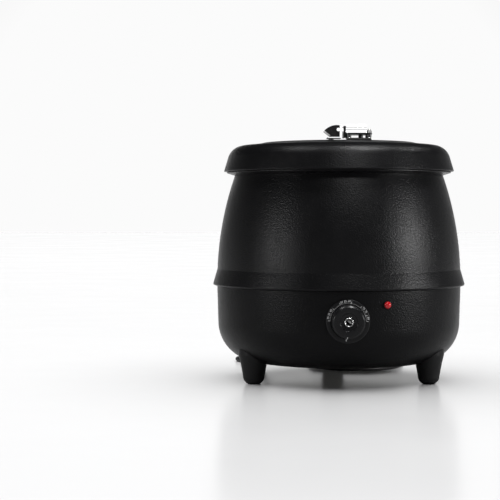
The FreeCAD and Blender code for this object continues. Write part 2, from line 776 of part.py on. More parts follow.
def main():
    os.makedirs("parts", exist_ok=True)
    export("lower_casing", lower_casing())
    export("upper_casing", upper_casing())
    export("top_ring", top_ring())
    export("water_well", water_well())
    export("insert_pot", insert_pot())
    export("heater_ring", heater_ring())
    export("heater_clamp_plate", heater_clamp_plate())
    export("heat_reflector", heat_reflector())
    export("tie_bolt", tie_bolt())
    export("tie_nut", tie_nut())
    export("tie_sleeve", tie_sleeve())
    export("base_plate", base_plate())
    export_group("base_screws", base_screws())
    for name, azimuth in FOOT_AZIMUTHS.items():
        export(name, foot(azimuth))
    export_group("foot_screws", foot_screws())
    export_group("foot_nuts", foot_nuts())
    export("lamp_lens", lamp_lens())
    export("lamp_body", lamp_cylinder(152, LAMP_WALL_R, LAMP_BODY_R))
    export("lamp_nut", lamp_cylinder(173.0, 176.0, 8.0).cut(lamp_cylinder(160, 185, LAMP_BODY_R)))
    export("thermostat_body", thermostat_body())
    export("thermostat_nut", thermostat_nut())
    export("thermostat_spindle", forward(-160.5, KNOB_FRONT_Y + 1.6, SPINDLE_R))
    export("dial_ring", dial_ring())
    export("knob", knob())
    export("knob_cap", knob_cap())
    bulb, capillary_tube = capillary()
    export("capillary_bulb", bulb)
    export("capillary_tube", capillary_tube)
    export("thermal_cutout", thermal_cutout())
    export("terminal_block", terminal_block())
    export_group("internal_wiring", internal_wiring())
    fixed, flap = lid_halves()
    export("lid_fixed_half", fixed)
    export("lid_flap", flap)
    export("seam_strip", seam_strip())
    export("hinge_gasket", hinge_gasket())
    export("hinge_plate", hinge_plate())
    export("hinge_housing", hinge_housing())
    export("hinge_pin", hinge_pin())
    export_group("hinge_spacers", hinge_spacers())
    export_group("hinge_nuts", hinge_nuts())
    export_group("hinge_screws", through_lid_screws(HINGE_SCREWS, 365.5))
    export("hinge_leaf", hinge_leaf())
    export("grip", grip())
    export_group("grip_screws", through_lid_screws(GRIP_SCREWS, 363.0))
    export_group("grip_spacers", grip_spacers())
    export("cable_gland", cable_gland())
    export("mains_lead", mains_lead())
    export("lead_coil", lead_coil())
    export("plug", plug())


main()
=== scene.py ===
from math import asin, atan2, cos, pi, radians, sin, sqrt, tan

import bmesh
import bpy
from mathutils import Matrix, Vector


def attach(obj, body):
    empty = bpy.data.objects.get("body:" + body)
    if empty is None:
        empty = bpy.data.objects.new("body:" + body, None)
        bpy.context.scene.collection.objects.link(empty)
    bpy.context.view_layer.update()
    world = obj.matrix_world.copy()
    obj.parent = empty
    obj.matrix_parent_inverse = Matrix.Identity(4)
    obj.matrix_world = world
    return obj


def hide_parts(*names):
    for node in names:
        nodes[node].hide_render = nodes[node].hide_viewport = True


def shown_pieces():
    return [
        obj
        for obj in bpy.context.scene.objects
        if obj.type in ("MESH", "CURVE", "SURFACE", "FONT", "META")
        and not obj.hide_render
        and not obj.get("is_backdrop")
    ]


# Looks of a soup kettle. Shapes are worked out in millimetres in the CAD frame, and scaled to metres.
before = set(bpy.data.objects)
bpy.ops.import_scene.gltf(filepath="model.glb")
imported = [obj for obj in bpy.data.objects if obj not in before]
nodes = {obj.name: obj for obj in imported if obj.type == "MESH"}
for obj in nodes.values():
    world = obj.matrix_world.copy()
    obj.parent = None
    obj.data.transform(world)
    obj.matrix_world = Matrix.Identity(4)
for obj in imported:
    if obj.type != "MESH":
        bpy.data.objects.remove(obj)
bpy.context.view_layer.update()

MM = 0.001
FINE = 256                  # segments round the casings and the lid
MEDIUM = 96                 # round the knob, the gland and the plug


# Camera ---------------------------------------------------------------------

CAMERA_AT = (-0.131, -2.15, 0.2495)
CAMERA_DOWN = 1.58          # degrees below the horizontal

camera_data = bpy.data.cameras.new("camera")
camera_data.lens = 104.4
camera_data.sensor_width = 36.0
camera = bpy.data.objects.new("camera", camera_data)
camera.location = CAMERA_AT
camera.rotation_euler = (radians(90 - CAMERA_DOWN), 0, 0)
bpy.context.scene.collection.objects.link(camera)
bpy.context.scene.camera = camera


# Materials ------------------------------------------------------------------

def ramp(tree, source, low, high, from_min=0.0, from_max=1.0):
    """Map a texture's value to a range of the shader."""
    node = tree.nodes.new("ShaderNodeMapRange")
    node.inputs["From Min"].default_value = from_min
    node.inputs["From Max"].default_value = from_max
    node.inputs["To Min"].default_value = low
    node.inputs["To Max"].default_value = high
    tree.links.new(source, node.inputs["Value"])
    return node.outputs["Result"]


def noise(tree, vector, scale, detail=2.0, roughness=0.5):
    node = tree.nodes.new("ShaderNodeTexNoise")
    node.inputs["Scale"].default_value = scale
    node.inputs["Detail"].default_value = detail
    node.inputs["Roughness"].default_value = roughness
    tree.links.new(vector, node.inputs["Vector"])
    return node.outputs["Fac"]


def material(name, colour, rough, metallic=0.0, specular=0.5, grain=900.0, grain_high=0.1, rough_scale=60.0,
             stretch=(1, 1, 1), variation=0.15, pebbles=0.0):
    """Principled surface whose colour, roughness and bump vary with noise in object space.
    rough is a range, grain the bump's noise scale per metre, and grain_high its height in millimetres."""
    m = bpy.data.materials.new(name)
    m.use_nodes = True
    tree = m.node_tree
    shader = tree.nodes["Principled BSDF"]
    shader.inputs["Metallic"].default_value = metallic
    shader.inputs["Specular IOR Level"].default_value = specular
    where = tree.nodes.new("ShaderNodeTexCoord").outputs["Object"]
    if stretch != (1, 1, 1):
        mapping = tree.nodes.new("ShaderNodeMapping")
        mapping.inputs["Scale"].default_value = stretch
        tree.links.new(where, mapping.inputs["Vector"])
        fine_where = mapping.outputs["Vector"]
    else:
        fine_where = where
    patches = noise(tree, where, rough_scale, 3.0)
    tree.links.new(ramp(tree, patches, rough[0], rough[1], 0.3, 0.7), shader.inputs["Roughness"])
    mix = tree.nodes.new("ShaderNodeMix")
    mix.data_type = "RGBA"
    mix.inputs[6].default_value = (*[c * (1 - variation) for c in colour], 1)
    mix.inputs[7].default_value = (*[min(1.0, c * (1 + variation)) for c in colour], 1)
    tree.links.new(noise(tree, fine_where, grain * 0.6, 3.0), mix.inputs[0])
    tree.links.new(mix.outputs[2], shader.inputs["Base Color"])
    height = noise(tree, fine_where, grain, 2.0)
    if pebbles:
        cells = tree.nodes.new("ShaderNodeTexVoronoi")
        cells.feature = "SMOOTH_F1"
        cells.inputs["Scale"].default_value = pebbles
        tree.links.new(where, cells.inputs["Vector"])
        add = tree.nodes.new("ShaderNodeMath")
        add.operation = "SUBTRACT"
        tree.links.new(height, add.inputs[0])
        tree.links.new(cells.outputs["Distance"], add.inputs[1])
        height = add.outputs["Value"]
    bump = tree.nodes.new("ShaderNodeBump")
    bump.inputs["Strength"].default_value = 1.0
    bump.inputs["Distance"].default_value = grain_high * MM
    tree.links.new(height, bump.inputs["Height"])
    tree.links.new(bump.outputs["Normal"], shader.inputs["Normal"])
    return m


MATERIALS = {
    "textured_black_paint": material(
        "textured_black_paint", (0.0026, 0.0026, 0.0029), (0.28, 0.35), specular=0.105,
        grain=750.0, grain_high=0.28, pebbles=560.0, rough_scale=35.0),
    "stainless_steel": material(
        "stainless_steel", (0.56, 0.56, 0.55), (0.26, 0.36), metallic=1.0,
        stretch=(0.06, 0.06, 1.0), grain=2600.0, grain_high=0.02, rough_scale=25.0, variation=0.06),
    "polished_stainless": material(
        "polished_stainless", (0.66, 0.66, 0.65), (0.12, 0.20), metallic=1.0,
        stretch=(0.08, 0.08, 1.0), grain=2200.0, grain_high=0.01, rough_scale=20.0, variation=0.04),
    "heater_steel": material(
        "heater_steel", (0.30, 0.27, 0.24), (0.35, 0.5), metallic=1.0, grain=500.0, grain_high=0.03),
    "aluminium_sheet": material(
        "aluminium_sheet", (0.62, 0.62, 0.62), (0.3, 0.42), metallic=1.0,
        grain=700.0, grain_high=0.02, variation=0.05),
    "zinc_steel": material(
        "zinc_steel", (0.50, 0.50, 0.47), (0.3, 0.45), metallic=1.0, grain=600.0, grain_high=0.03),
    "foot_rubber": material(
        "foot_rubber", (0.0042, 0.0042, 0.0045), (0.42, 0.52), specular=0.14,
        grain=1400.0, grain_high=0.03),
    "control_plastic": material(
        "control_plastic", (0.02, 0.02, 0.02), (0.45, 0.55), grain=1500.0, grain_high=0.03),
    "terminal_plastic": material(
        "terminal_plastic", (0.55, 0.53, 0.48), (0.4, 0.5), grain=1500.0, grain_high=0.03),
    "dial_plastic": material(
        "dial_plastic", (0.004, 0.004, 0.0045), (0.34, 0.42), specular=0.16,
        grain=2400.0, grain_high=0.02),
    "knob_plastic": material(
        "knob_plastic", (0.0035, 0.0035, 0.004), (0.24, 0.32), specular=0.16,
        grain=2600.0, grain_high=0.015),
    "chrome": material(
        "chrome", (0.80, 0.80, 0.81), (0.06, 0.12), metallic=1.0,
        grain=900.0, grain_high=0.004, rough_scale=90.0, variation=0.02),
    "copper": material(
        "copper", (0.72, 0.36, 0.22), (0.25, 0.35), metallic=1.0, grain=900.0, grain_high=0.01),
    "red_lens": material(
        "red_lens", (0.30, 0.002, 0.005), (0.07, 0.12), specular=0.45, grain=1500.0, grain_high=0.01),
    "wire_insulation": material(
        "wire_insulation", (0.35, 0.02, 0.015), (0.4, 0.5), grain=1200.0, grain_high=0.02),
    "lead_rubber": material(
        "lead_rubber", (0.009, 0.009, 0.0095), (0.42, 0.52), specular=0.4,
        grain=2200.0, grain_high=0.025),
    "plug_plastic": material(
        "plug_plastic", (0.009, 0.009, 0.0095), (0.40, 0.50), specular=0.4,
        grain=1800.0, grain_high=0.03),
}
# The same black paint with less specular and a little more roughness, for the lower casing: it darkens the
# floor's reflection there, painted shade.
SHADED_LOW_PAINT = material(
    "textured_black_paint_low_shaded", (0.0026, 0.0026, 0.0029), (0.30, 0.37), specular=0.072,
    grain=750.0, grain_high=0.28, pebbles=560.0, rough_scale=35.0)
# Dull metal for the nuts, the cap ring and the spindle, and painted shade in the housing's grooves.
DULL_METAL_AND_SHADE = material(
    "dull_metal_and_groove_shade", (0.34, 0.34, 0.34), (0.24, 0.32), metallic=1.0,
    grain=1500.0, grain_high=0.01, variation=0.05)
PRINT = material(
    "white_print", (0.42, 0.42, 0.42), (0.45, 0.55), grain=3000.0, grain_high=0.01, variation=0.05)
# Smooth black: real paint on the plate, the spacers and the grip screws, and painted shade on the block by
# the knuckle and on the leaf's foot.
BLACK_PAINT_AND_SHADE = material(
    "smooth_black_paint_and_shade", (0.004, 0.004, 0.0045), (0.25, 0.35), specular=0.3,
    grain=1600.0, grain_high=0.01)
GRIP_PLASTIC = material(
    "grip_plastic", (0.006, 0.006, 0.0065), (0.16, 0.24), specular=0.28,
    grain=1800.0, grain_high=0.015)

SLOTS = {
    "textured_black_paint": ["lower_casing", "upper_casing", "top_ring", "lid_fixed_half", "lid_flap"],
    "stainless_steel": ["water_well"],
    "polished_stainless": ["insert_pot", "seam_strip"],
    "heater_steel": ["heater_ring", "heater_clamp_plate"],
    "aluminium_sheet": ["heat_reflector"],
    "zinc_steel": ["tie_bolt", "tie_sleeve", "tie_nut", "base_plate", "base_screws", "foot_screws",
                   "foot_nuts", "thermostat_nut", "lamp_nut", "thermostat_spindle"],
    "foot_rubber": ["foot_front_left", "foot_front_right", "foot_rear", "hinge_gasket"],
    "control_plastic": ["thermostat_body", "lamp_body", "thermal_cutout"],
    "terminal_plastic": ["terminal_block"],
    "copper": ["capillary_bulb", "capillary_tube"],
    "wire_insulation": ["internal_wiring"],
    "chrome": ["hinge_plate", "hinge_housing", "hinge_pin", "hinge_screws", "hinge_spacers", "hinge_nuts",
               "hinge_leaf", "grip_screws", "grip_spacers", "knob_cap"],
}
for slot_name, members in SLOTS.items():
    for member in members:
        mesh = nodes[member].data
        mesh.materials.clear()
        mesh.materials.append(MATERIALS[slot_name])


# Mesh helpers ---------------------------------------------------------------

def arc_through(a, b, c, steps=24):
    """Points on the circle through three (r, z) points, from a to c."""
    ax, ay = a
    bx, by = b
    cx, cy = c
    d = 2 * (ax * (by - cy) + bx * (cy - ay) + cx * (ay - by))
    a2 = ax * ax + ay * ay
    b2 = bx * bx + by * by
    c2 = cx * cx + cy * cy
    ux = (a2 * (by - cy) + b2 * (cy - ay) + c2 * (ay - by)) / d
    uy = (a2 * (cx - bx) + b2 * (ax - cx) + c2 * (bx - ax)) / d
    radius = sqrt((ax - ux) ** 2 + (ay - uy) ** 2)
    start = atan2(ay - uy, ax - ux)
    middle = (atan2(by - uy, bx - ux) - start) % (2 * pi)
    sweep = (atan2(cy - uy, cx - ux) - start) % (2 * pi)
    if middle > sweep:
        sweep -= 2 * pi
    return [(ux + radius * cos(start + sweep * i / steps), uy + radius * sin(start + sweep * i / steps))
            for i in range(steps + 1)]


def softened(points, steps=5):
    """Closed outline of (r, z) or (r, z, fillet) points, its corners rounded where a fillet is given."""
    result = []
    count = len(points)
    for i, point in enumerate(points):
        here = Vector(point[:2])
        fillet = point[2] if len(point) > 2 else 0.0
        back = Vector(points[i - 1][:2]) - here
        ahead = Vector(points[(i + 1) % count][:2]) - here
        if not fillet or back.length < 1e-6 or ahead.length < 1e-6:
            result.append((here.x, here.y))
            continue
        half = back.angle(ahead) / 2
        trim = min(fillet / tan(half), 0.49 * back.length, 0.49 * ahead.length)
        start = here + back.normalized() * trim
        end = here + ahead.normalized() * trim
        for k in range(steps + 1):
            t = k / steps
            p = start * (1 - t) ** 2 + here * 2 * t * (1 - t) + end * t ** 2
            result.append((p.x, p.y))
    return result


def turned(points, segments):
    """Closed outline of (r, z) turned about Z, in metres."""
    bm = bmesh.new()
    rings = []
    for r, z in points:
        if abs(r) < 1e-6:
            rings.append([bm.verts.new((0, 0, z * MM))])
            continue
        ring = []
        for i in range(segments):
            a = 2 * pi * i / segments
            ring.append(bm.verts.new((r * cos(a) * MM, r * sin(a) * MM, z * MM)))
        rings.append(ring)
    for lower, upper in zip(rings, rings[1:] + rings[:1]):
        for i in range(segments):
            j = (i + 1) % segments
            corners = [lower[i % len(lower)], lower[j % len(lower)]]
            corners += [upper[j % len(upper)], upper[i % len(upper)]]
            unique = list(dict.fromkeys(corners))
            if len(unique) > 2:
                bm.faces.new(unique)
    bmesh.ops.recalc_face_normals(bm, faces=bm.faces)
    return bm


def piece(name, bm, body, finish, replaced=(), sharp=35, place=None):
    """Make an object of a bmesh, that rides on a body."""
    mesh = bpy.data.meshes.new(name)
    if place is not None:
        bm.transform(place)
    bm.to_mesh(mesh)
    bm.free()
    mesh.shade_smooth()
    mesh.set_sharp_from_angle(angle=radians(sharp))
    mesh.materials.append(finish)
    obj = bpy.data.objects.new(name, mesh)
    bpy.context.scene.collection.objects.link(obj)
    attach(obj, body)
    if replaced:
        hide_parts(*replaced)
    return obj


def axis_place(point, direction, turn=0.0):
    """Matrix that takes the Z axis to a direction through a point given in millimetres."""
    aim = Vector(direction).to_track_quat("Z", "Y").to_matrix().to_4x4()
    return Matrix.Translation(Vector(point) * MM) @ aim @ Matrix.Rotation(turn, 4, "Z")


def extruded_y(outline, half):
    """An outline of (x, z) points in millimetres, extruded to both sides of Y = 0."""
    bm = bmesh.new()
    face = bm.faces.new([bm.verts.new((x * MM, -half * MM, z * MM)) for x, z in outline])
    made = bmesh.ops.extrude_face_region(bm, geom=[face])
    ends = [v for v in made["geom"] if isinstance(v, bmesh.types.BMVert)]
    bmesh.ops.translate(bm, verts=ends, vec=(0, 2 * half * MM, 0))
    bmesh.ops.recalc_face_normals(bm, faces=bm.faces)
    return bm


def rounded(obj, width, segments=3, angle=32):
    """Round the edges sharper than an angle."""
    bevel = obj.modifiers.new("edges", "BEVEL")
    bevel.width = width * MM
    bevel.segments = segments
    bevel.limit_method = "ANGLE"
    bevel.angle_limit = radians(angle)
    bevel.harden_normals = False


def refined(node, body, finish, width, name=None, segments=3, angle=32):
    """Copy of a CAD node with its facets merged and its edges rounded."""
    bm = bmesh.new()
    bm.from_mesh(nodes[node].data)
    bmesh.ops.remove_doubles(bm, verts=bm.verts, dist=1e-6)
    bmesh.ops.dissolve_limit(bm, angle_limit=radians(1.0), verts=bm.verts, edges=bm.edges)
    obj = piece(name or node + "_look", bm, body, finish, (node,))
    if "custom_normal" in obj.data.attributes:
        obj.data.attributes.remove(obj.data.attributes["custom_normal"])
    rounded(obj, width, segments, angle)
    return obj


# Mains lead -----------------------------------------------------------------

LEAD_R = 3.5
LEAD_Z = 3.6
COIL_CENTRE = (66.0, 240.0)
COIL_OUTER = 47.65
COIL_INNER = 40.35
COIL_LAYERS = (LEAD_Z, 10.9)
COIL_END = 1170             # degrees from the coil's first point to its last
COIL_STEP = 20              # degrees between the coil's points
GLAND_SEAT = Vector((-85.114, 147.423, 56.0))
GLAND_OUT = Vector((-0.433013, 0.75, -0.5))
GLAND_LENGTH = 26.0
PLUG_ENTRY = Vector((41.0, 287.0, 18.6))
PIN_OFFSET = 9.5


def eased(angle, start, end):
    t = min(1.0, max(0.0, (angle - start) / (end - start)))
    return t * t * (3 - 2 * t)


def coil_point(angle):
    """A point of the coil: inwards on the floor, up, outwards on top, and up to the plug."""
    r = COIL_OUTER + (COIL_INNER - COIL_OUTER) * (eased(angle, 300, 360) - eased(angle, 890, 950))
    low, high = COIL_LAYERS
    z = low + (high - low) * eased(angle, 600, 680) + (PLUG_ENTRY.z - high) * eased(angle, 1080, 1180)
    x, y = COIL_CENTRE
    return Vector((x + r * cos(radians(angle)), y + r * sin(radians(angle)), z))


def lead_points():
    """From the gland down to the floor, a loop to the left, under the kettle, and the coil."""
    leaves = GLAND_SEAT + GLAND_OUT * GLAND_LENGTH
    points = [leaves, leaves + GLAND_OUT * 12]
    down = [(-106.5, 185, 25), (-111, 193.5, 13.5), (-119.5, 202.5, 6.5), (-131, 209.5, 3.8)]
    points += [Vector(p) for p in down]
    loop = [(-146.5, 221), (-153.5, 243), (-145.5, 265), (-125.5, 277), (-97.5, 272), (-66, 248)]
    under = [(-45, 213), (-36, 172), (-33, 132), (-8, 101), (30, 86), (72, 96), (102, 134)]
    under += [(114, 182), (113.6, 223)]
    points += [Vector((x, y, LEAD_Z)) for x, y in loop + under]
    points += [coil_point(angle) for angle in range(0, COIL_END, COIL_STEP)]
    points += [PLUG_ENTRY + Vector((8, 0.2, -0.1)), PLUG_ENTRY + Vector((-6, 0, 0))]
    return points


def gland():
    """Strain relief: a collar, and a ribbed sleeve that tapers to the lead."""
    outline = [(3.2, -3.0), (5.3, -3.0), (5.3, 0.4), (8.5, 0.5, 0.6), (8.5, 2.6, 0.8), (7.0, 2.8, 0.3)]
    ribs = 7
    for i in range(ribs):
        at = 4.0 + i * 2.9
        r = 7.0 - 2.5 * (at - 2.4) / (GLAND_LENGTH - 2.4)
        outline += [(r, at, 0.25), (r - 0.9, at + 0.5, 0.25)]
        outline += [(r - 1.0, at + 1.5, 0.25), (r - 0.15, at + 2.0, 0.25)]
    outline += [(4.55, GLAND_LENGTH - 0.4, 0.4), (3.6, GLAND_LENGTH, 0.2), (3.2, GLAND_LENGTH - 1.0)]
    place = axis_place(GLAND_SEAT, GLAND_OUT)
    return piece("gland_sleeve", turned(softened(outline), MEDIUM), "kettle", MATERIALS["lead_rubber"],
                 ("cable_gland",), place=place)


def plug():
    """Two-pin plug that lies on its side, with a ribbed neck."""
    outline = [(0, 0.3), (4.4, 0, 0.6), (5.0, 0.8, 0.4)]
    for i in range(5):
        at = 1.8 + i * 2.4
        r = 5.1 + at * 0.065
        outline += [(r, at, 0.2), (r - 0.7, at + 0.4, 0.2)]
        outline += [(r - 0.7, at + 1.2, 0.2), (r + 0.1, at + 1.6, 0.2)]
    outline += [(6.0, 14.0, 2.0)] + arc_through((8.5, 15.4), (13.0, 20.0), (17.5, 30.0), 10)
    outline += [(18.5, 38.0, 1.5), (18.5, 47.4, 0.8), (17.4, 48.0, 0.6)]
    outline += [(15.2, 48.0, 0.4), (14.8, 47.0, 0.4), (0, 47.0)]
    along = (-1, 0, 0)
    body = piece("plug_body", turned(softened(outline), MEDIUM), "kettle", MATERIALS["plug_plastic"],
                 ("plug",), place=axis_place(PLUG_ENTRY, along))
    pieces = [body]
    pin_line = [(0, 45.5), (2.4, 45.5), (2.4, 64.8, 1.2), (1.5, 66.6, 0.8), (0, 67.0)]
    for side in (-1, 1):
        at = PLUG_ENTRY + Vector((0, 0, side * PIN_OFFSET))
        name = "plug_pin_" + ("low" if side < 0 else "high")
        pieces.append(piece(name, turned(softened(pin_line), 32), "kettle", MATERIALS["chrome"],
                            place=axis_place(at, along)))
    return pieces


def mains_lead(with_pieces):
    """The whole lead as one curve, from the gland to the plug."""
    points = lead_points()
    curve = bpy.data.curves.new("mains_lead_line", "CURVE")
    curve.dimensions = "3D"
    spline = curve.splines.new("NURBS")
    spline.points.add(len(points) - 1)
    for at, point in zip(spline.points, points):
        at.co = (*(point * MM), 1.0)
    spline.order_u = 3
    spline.use_endpoint_u = True
    spline.resolution_u = 6
    curve.bevel_depth = LEAD_R * MM
    curve.bevel_resolution = 6
    curve.use_fill_caps = True
    curve.materials.append(MATERIALS["lead_rubber"])
    obj = bpy.data.objects.new("mains_lead_flex", curve)
    bpy.context.scene.collection.objects.link(obj)
    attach(obj, "kettle")
    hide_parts("mains_lead", "lead_coil")


mains_lead([gland()] + plug())


# Casings --------------------------------------------------------------------

PAINT = MATERIALS["textured_black_paint"]
SHEET = 0.8
CORNER_CENTRE = (120.0, 85.0)
CORNER_R = 58.0


def corner_point(radius, angle):
    """A point (r, z) on the rounded bottom corner; 0 degrees is straight down, 90 is level."""
    r, z = CORNER_CENTRE
    return r + radius * sin(radians(angle)), z - radius * cos(radians(angle))


def lower_casing():
    """Bowl with a rounded corner. The base plate closes its bottom."""
    corner = [corner_point(CORNER_R, angle) for angle in range(0, 91, 3)]
    inner = [corner_point(CORNER_R - SHEET, angle) for angle in range(90, -1, -3)]
    outline = [(112.0, 27.0, 0.3)] + corner + [(180.0, 152.0, 0.3), (179.2, 152.0, 0.3)]
    outline += inner + [(112.0, 27.8, 0.3)]
    # The lower casing gets the less glossy copy of the paint: painted shade on the floor's reflection in
    # it.
    piece("lower_casing_shell", turned(softened(outline), FINE), "kettle", SHADED_LOW_PAINT, ("lower_casing",),
          sharp=30)


def upper_casing():
    """Tapered wall, with a flared band at the bottom that ends in a turned edge."""
    wall = arc_through((179.2, 163.0), (171.9, 230.0), (153.5, 300.0), 40)
    inner = arc_through((152.7, 300.0), (171.1, 230.0), (178.4, 163.4), 40)
    outline = [(180.9, 138.3, 0.3), (184.9, 139.6, 1.2), (185.5, 141.4, 1.0)]
    outline += [(*wall[0], 2.2)] + wall[1:] + inner[:-1]
    outline += [(*inner[-1], 1.0), (184.1, 141.7, 0.6), (180.9, 139.6, 0.3)]
    piece("upper_casing_shell", turned(softened(outline), FINE), "kettle", PAINT, ("upper_casing",),
          sharp=30)


def top_ring():
    """Deck, and the rim that flares out under the lid."""
    outline = [
        (152.7, 300.0), (153.5, 300.0), (155.6, 300.9, 1.5), (165.0, 303.8, 0.6), (165.0, 305.6, 0.7),
        (150.0, 305.6, 2.5), (142.0, 301.7, 2.5), (128.0, 301.7, 0.3), (128.0, 300.9, 0.3),
        (141.5, 300.9, 1.0), (149.5, 304.8, 1.0), (163.8, 304.8), (152.7, 301.0),
    ]
    piece("top_ring_shell", turned(softened(outline), FINE), "kettle", PAINT, ("top_ring",),
          sharp=40)


def insert_pot():
    """Straight pot with a rounded corner and a flat rim whose edge is turned over."""
    outer = arc_through((102.5, 63.3), (110.99, 66.81), (114.5, 75.3), 8)
    inner = arc_through((113.7, 75.3), (110.42, 67.38), (102.5, 64.1), 8)
    rim = [
        (114.5, 300.8, 1.2), (115.6, 302.5, 1.2), (121.9, 302.5, 0.35),
        (121.9, 303.3, 0.35), (116.0, 303.3, 2.0), (113.7, 301.0, 2.0),
    ]
    outline = [(0, 63.3), (100.0, 63.3)] + outer + rim + inner + [(100.0, 64.1), (0, 64.1)]
    piece("insert_pot_shell", turned(softened(outline), FINE), "pot", MATERIALS["polished_stainless"],
          ("insert_pot",), sharp=40)


lower_casing()
upper_casing()
top_ring()
insert_pot()


# Lid ------------------------------------------------------------------------

PANEL_R = 112.0             # raised middle panel
PANEL_RISE = 1.4
LID_TOP_Z = 349.6
SEAM_HALF = 0.05            # from the middle to each half's edge


def lid_crown(steps=12):
    """Points of the panel's shallow arc, from its edge to the axis."""
    radius = (PANEL_R ** 2 + PANEL_RISE ** 2) / (2 * PANEL_RISE)
    edge = asin(PANEL_R / radius)
    angles = [edge * (1 - i / steps) for i in range(steps + 1)]
    return [(radius * sin(t), LID_TOP_Z - radius * (1 - cos(t))) for t in angles]


def lid_outline():
    """Section of the lid: turned-in lip, shoulder, panel and crown, and the same below a sheet lower."""
    crown = lid_crown()
    under = [(r, z - SHEET) for r, z in reversed(crown)]
    shoulder = arc_through((163.0, 328.0), (155.6, 338.6), (138.0, 344.1), 20)
    lower = arc_through((138.0, 343.3), (154.6, 337.8), (162.2, 328.0), 20)
    outline = [(158.0, 306.0, 0.3), (168.9, 306.0, 0.5), (169.3, 307.2, 0.8)]
    outline += [(*shoulder[0], 3.0)] + shoulder[1:-1] + [(*shoulder[-1], 4.0), (116.5, 347.0, 1.5)]
    outline += [(*crown[0], 1.5)] + crown[1:] + under[:-1] + [(*under[-1], 1.5), (116.5, 346.2, 1.5)]
    outline += lower + [(168.2, 306.8, 0.4), (158.0, 306.8, 0.3)]
    return softened(outline)


def lid_half(name, side, body, node):
    """Half of the lid, cut square across and closed at the cut."""
    bm = turned(lid_outline(), FINE)
    bmesh.ops.rotate(bm, verts=bm.verts, cent=(0, 0, 0), matrix=Matrix.Rotation(pi / FINE, 3, "Z"))
    cut = bmesh.ops.bisect_plane(bm, geom=bm.verts[:] + bm.edges[:] + bm.faces[:],
                                 plane_co=(side * SEAM_HALF * MM, 0, 0), plane_no=(side, 0, 0),
                                 clear_inner=True)
    edges = [e for e in cut["geom_cut"] if isinstance(e, bmesh.types.BMEdge)]
    bmesh.ops.triangle_fill(bm, use_beauty=True, edges=edges)
    bmesh.ops.recalc_face_normals(bm, faces=bm.faces)
    piece(name, bm, body, PAINT, (node,), sharp=30)


lid_half("lid_fixed_shell", 1, "lid", "lid_fixed_half")
lid_half("lid_flap_shell", -1, "flap", "lid_flap")


# Hinge and grip ---------------------------------------------------------------

CHROME = MATERIALS["chrome"]
HOUSING_X = 9.9             # front edge of the housing's block
LEAF_SHADE_Z = 357.1         # the leaf's foot, below this, is drawn black as painted shade under the grip


def painted(obj, finish, chosen):
    """Give the faces whose centre, in millimetres, is chosen a second material; the calls below use it for
    painted shade.
    """
    obj.data.materials.append(finish)
    for face in obj.data.polygons:
        if chosen(face.center / MM):
            face.material_index = 1


def in_shaded_groove(at):
    """Whether a point is inside one of the housing's side grooves, whose faces get painted shade."""
    return 15.6 < abs(at.y) < 16.45 and 366.5 < at.z < 371.9 and at.x > HOUSING_X


def hinge_shade_block():
    """Black block between the knuckle and the housing, which stands for the shade in the gap there: painted
    shade.
    """
    outline = [(6.3, 356.2), (HOUSING_X, 356.2), (HOUSING_X, 373.0), (6.9, 373.0), (6.3, 371.6)]
    shade_block = piece("hinge_shade_block", extruded_y(outline, 14.9), "lid", BLACK_PAINT_AND_SHADE)
    rounded(shade_block, 0.5)


housing = refined("hinge_housing", "lid", CHROME, 0.3)
# Darker metal in the housing's grooves: painted shade in the recesses.
painted(housing, DULL_METAL_AND_SHADE, in_shaded_groove)
# Black block by the knuckle: painted shade in the gap between the knuckle and the housing.
hinge_shade_block()
leaf = refined("hinge_leaf", "flap", CHROME, 0.3)
# The chrome leaf's foot under the grip is drawn black: painted shade.
painted(leaf, BLACK_PAINT_AND_SHADE, lambda at: at.z < LEAF_SHADE_Z)
refined("hinge_plate", "lid", BLACK_PAINT_AND_SHADE, 0.5)
refined("hinge_spacers", "lid", BLACK_PAINT_AND_SHADE, 0.2)
refined("grip_spacers", "flap", BLACK_PAINT_AND_SHADE, 0.2)
refined("grip_screws", "flap", BLACK_PAINT_AND_SHADE, 0.2)
refined("hinge_pin", "lid", CHROME, 0.3)
refined("hinge_nuts", "lid", DULL_METAL_AND_SHADE, 0.2)
refined("hinge_gasket", "lid", MATERIALS["foot_rubber"], 0.5)
refined("grip", "flap", GRIP_PLASTIC, 1.1, segments=4)
for foot in ("foot_front_left", "foot_front_right", "foot_rear"):
    refined(foot, "kettle", MATERIALS["foot_rubber"], 0.8, segments=3)


# Controls -------------------------------------------------------------------

KNOB_X = 2.4
KNOB_Z = 98.0
DIAL_FACE_Y = -182.8
DIAL_R = 30.0
KNOB_BACK_Y = -183.2
KNOB_FRONT_Y = -201.5
FRONT = (0, -1, 0)
DIAL_THICK = 2.2
PRINT_HIGH = 0.06           # of the print, above the dial's face
MARK_CLOCK = 185.7          # zero mark and pointer, degrees clockwise from the top
LAMP_AZIMUTH = -71.5
LAMP_WALL_R = 179.4
LAMP_Z = 119.6


def knob():
    """Turned knob: a step near the edge, a flat face and a dished hub."""
    depth = KNOB_BACK_Y - KNOB_FRONT_Y
    outline = [
        (3.2, 0.2), (22.4, 0.0, 0.4), (23.0, 0.8, 0.5), (22.5, depth - 2.4, 1.2), (20.2, depth - 0.1, 1.6),
        (12.4, depth - 0.2, 0.5), (11.6, depth - 1.4, 0.5), (7.6, depth - 1.7, 0.3),
        (7.1, depth - 2.4, 0.2), (3.2, depth - 2.4),
    ]
    place = axis_place((KNOB_X, KNOB_BACK_Y, KNOB_Z), FRONT)
    piece("knob_disc", turned(softened(outline), MEDIUM), "knob", MATERIALS["knob_plastic"], ("knob",),
          place=place)


